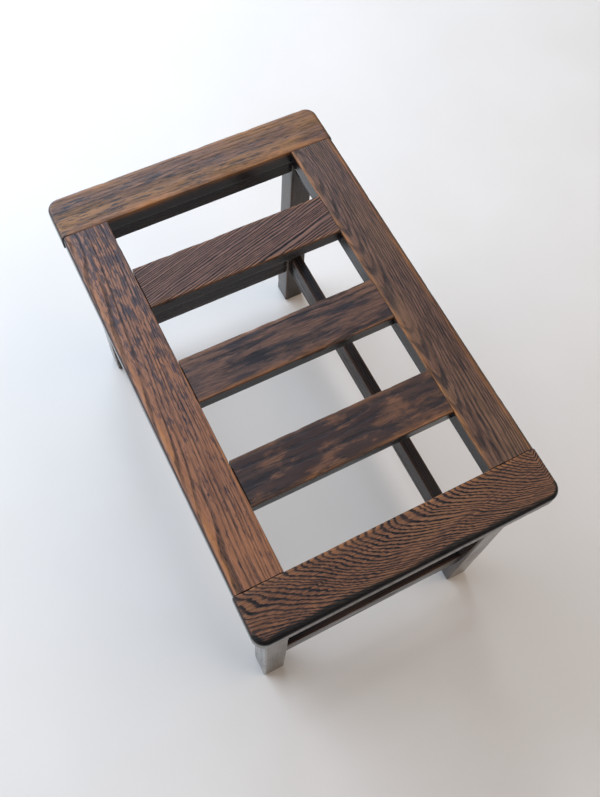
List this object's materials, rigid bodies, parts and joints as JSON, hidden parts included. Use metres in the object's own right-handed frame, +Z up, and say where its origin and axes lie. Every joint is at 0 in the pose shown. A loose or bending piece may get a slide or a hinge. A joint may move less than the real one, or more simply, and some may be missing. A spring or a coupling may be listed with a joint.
{
  "type": "slatted luggage rack",
  "caption": "Low joined oak luggage rack: a slatted flat top with rounded corners on square legs, with aprons and low stretchers.",
  "frame": {"origin": "on the floor, under the middle of the top", "axes": "+X across the rack, +Y along it towards the back end, +Z up"},
  "size_m": [0.376, 0.609, 0.4],
  "materials": {
    "end_board_oak": "dark stained oak, rubbed wax over worn varnish",
    "side_board_oak": "dark stained oak, rubbed wax, arrises worn to golden brown",
    "slat_oak": "dark stained oak with black wear patches, rubbed wax",
    "leg_oak": "very dark stained oak, satin varnish",
    "rail_oak": "very dark stained oak, satin varnish",
    "screw_steel": "dull steel wood screws with slotted heads"
  },
  "bodies": {
    "root": {"end_board_front": "end_board_oak", "end_board_back": "end_board_oak", "side_board_left": "side_board_oak", "side_board_right": "side_board_oak", "slat_front": "slat_oak", "slat_middle": "slat_oak", "slat_back": "slat_oak", "leg_front_left": "leg_oak", "leg_front_right": "leg_oak", "leg_back_left": "leg_oak", "leg_back_right": "leg_oak", "end_apron_front": "rail_oak", "end_apron_back": "rail_oak", "side_apron_left": "rail_oak", "side_apron_right": "rail_oak", "end_stretcher_front": "rail_oak", "end_stretcher_back": "rail_oak", "side_stretcher_left": "rail_oak", "side_stretcher_right": "rail_oak", "top_screws": "screw_steel"}
  },
  "joints": []
}
